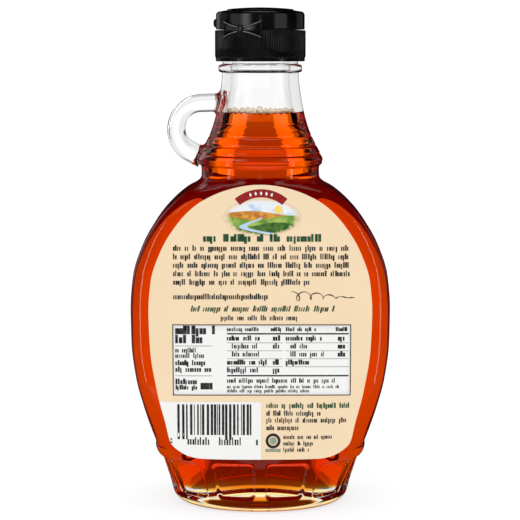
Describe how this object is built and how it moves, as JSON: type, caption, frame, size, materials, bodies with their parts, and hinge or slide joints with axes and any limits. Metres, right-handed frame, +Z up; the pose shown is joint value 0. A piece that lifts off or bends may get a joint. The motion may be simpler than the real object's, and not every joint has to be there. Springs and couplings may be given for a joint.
{
  "type": "maple syrup bottle",
  "caption": "Flattened clear glass bottle of amber syrup with a finger ear on the neck, a fluted foot, paper labels on both faces and a black flip-top cap, shut.",
  "frame": {"origin": "centre of the resting base, on the surface that the bottle stands on", "axes": "+Z up through the neck, +Y through the thin way of the bottle with the back label facing -Y, +X across the width with the finger ear on the -X side"},
  "size_m": [0.086, 0.0432, 0.1657],
  "materials": {
    "clear_glass": "gloss",
    "amber_syrup": "gloss",
    "label_paper": "satin",
    "black_plastic": "gloss"
  },
  "bodies": {
    "root": {"glass_bottle": "clear_glass", "maple_syrup": "amber_syrup", "back_label": "label_paper", "front_label": "label_paper", "cap_skirt": "black_plastic", "cap_lid": "black_plastic"}
  },
  "joints": []
}
